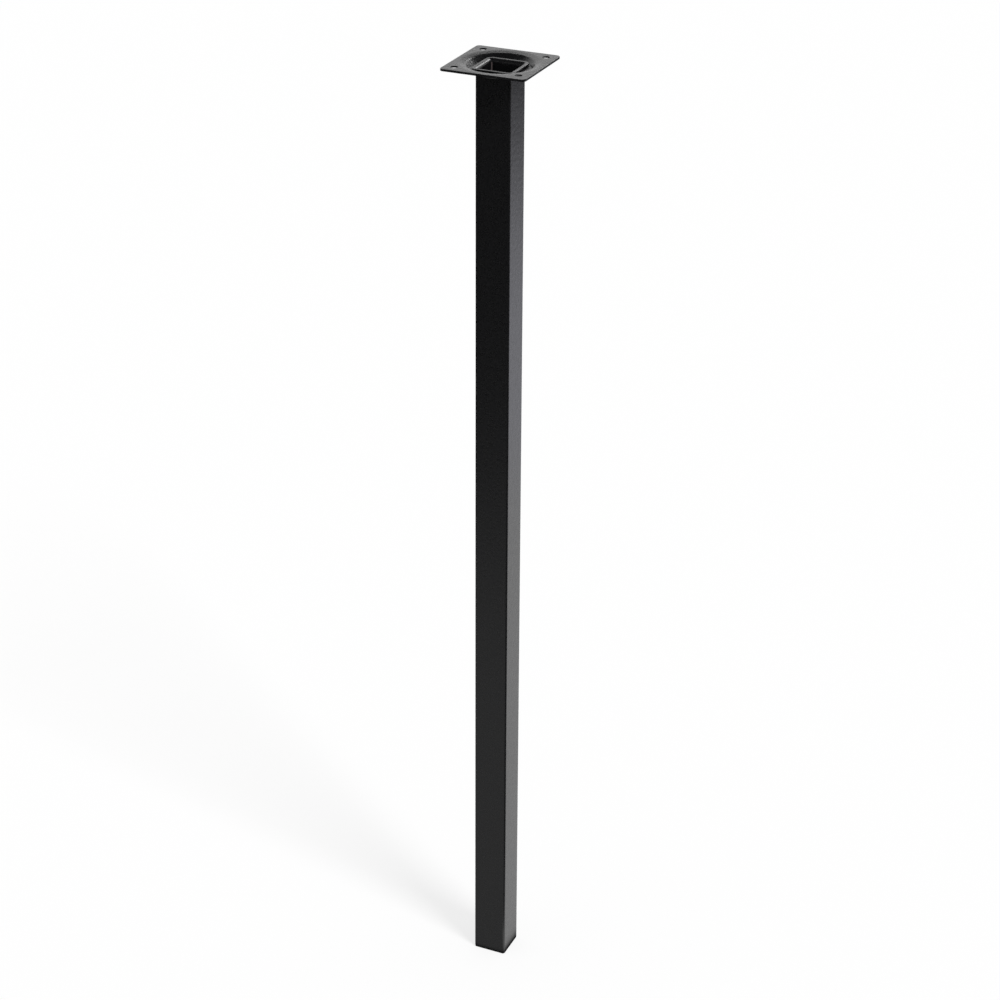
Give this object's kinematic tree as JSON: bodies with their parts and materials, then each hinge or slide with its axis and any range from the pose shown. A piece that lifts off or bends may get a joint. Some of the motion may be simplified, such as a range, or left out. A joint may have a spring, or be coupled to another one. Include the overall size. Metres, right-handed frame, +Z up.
{
  "type": "square metal table leg",
  "caption": "Slim square steel table leg with a pressed screw-on plate at the top and a plastic plug in the foot.",
  "frame": {"origin": "middle of the foot's underside, where the leg meets the floor", "axes": "+Z up along the tube to the plate; X and Y square to the tube's sides and the plate's edges"},
  "size_m": [0.06, 0.06, 0.7],
  "materials": {
    "black_paint": "black powder coat, satin, finely pebbled",
    "black_plastic": "moulded, matt"
  },
  "bodies": {
    "root": {"leg_tube": "black_paint", "mounting_plate": "black_paint", "foot_plug": "black_plastic"}
  },
  "joints": []
}
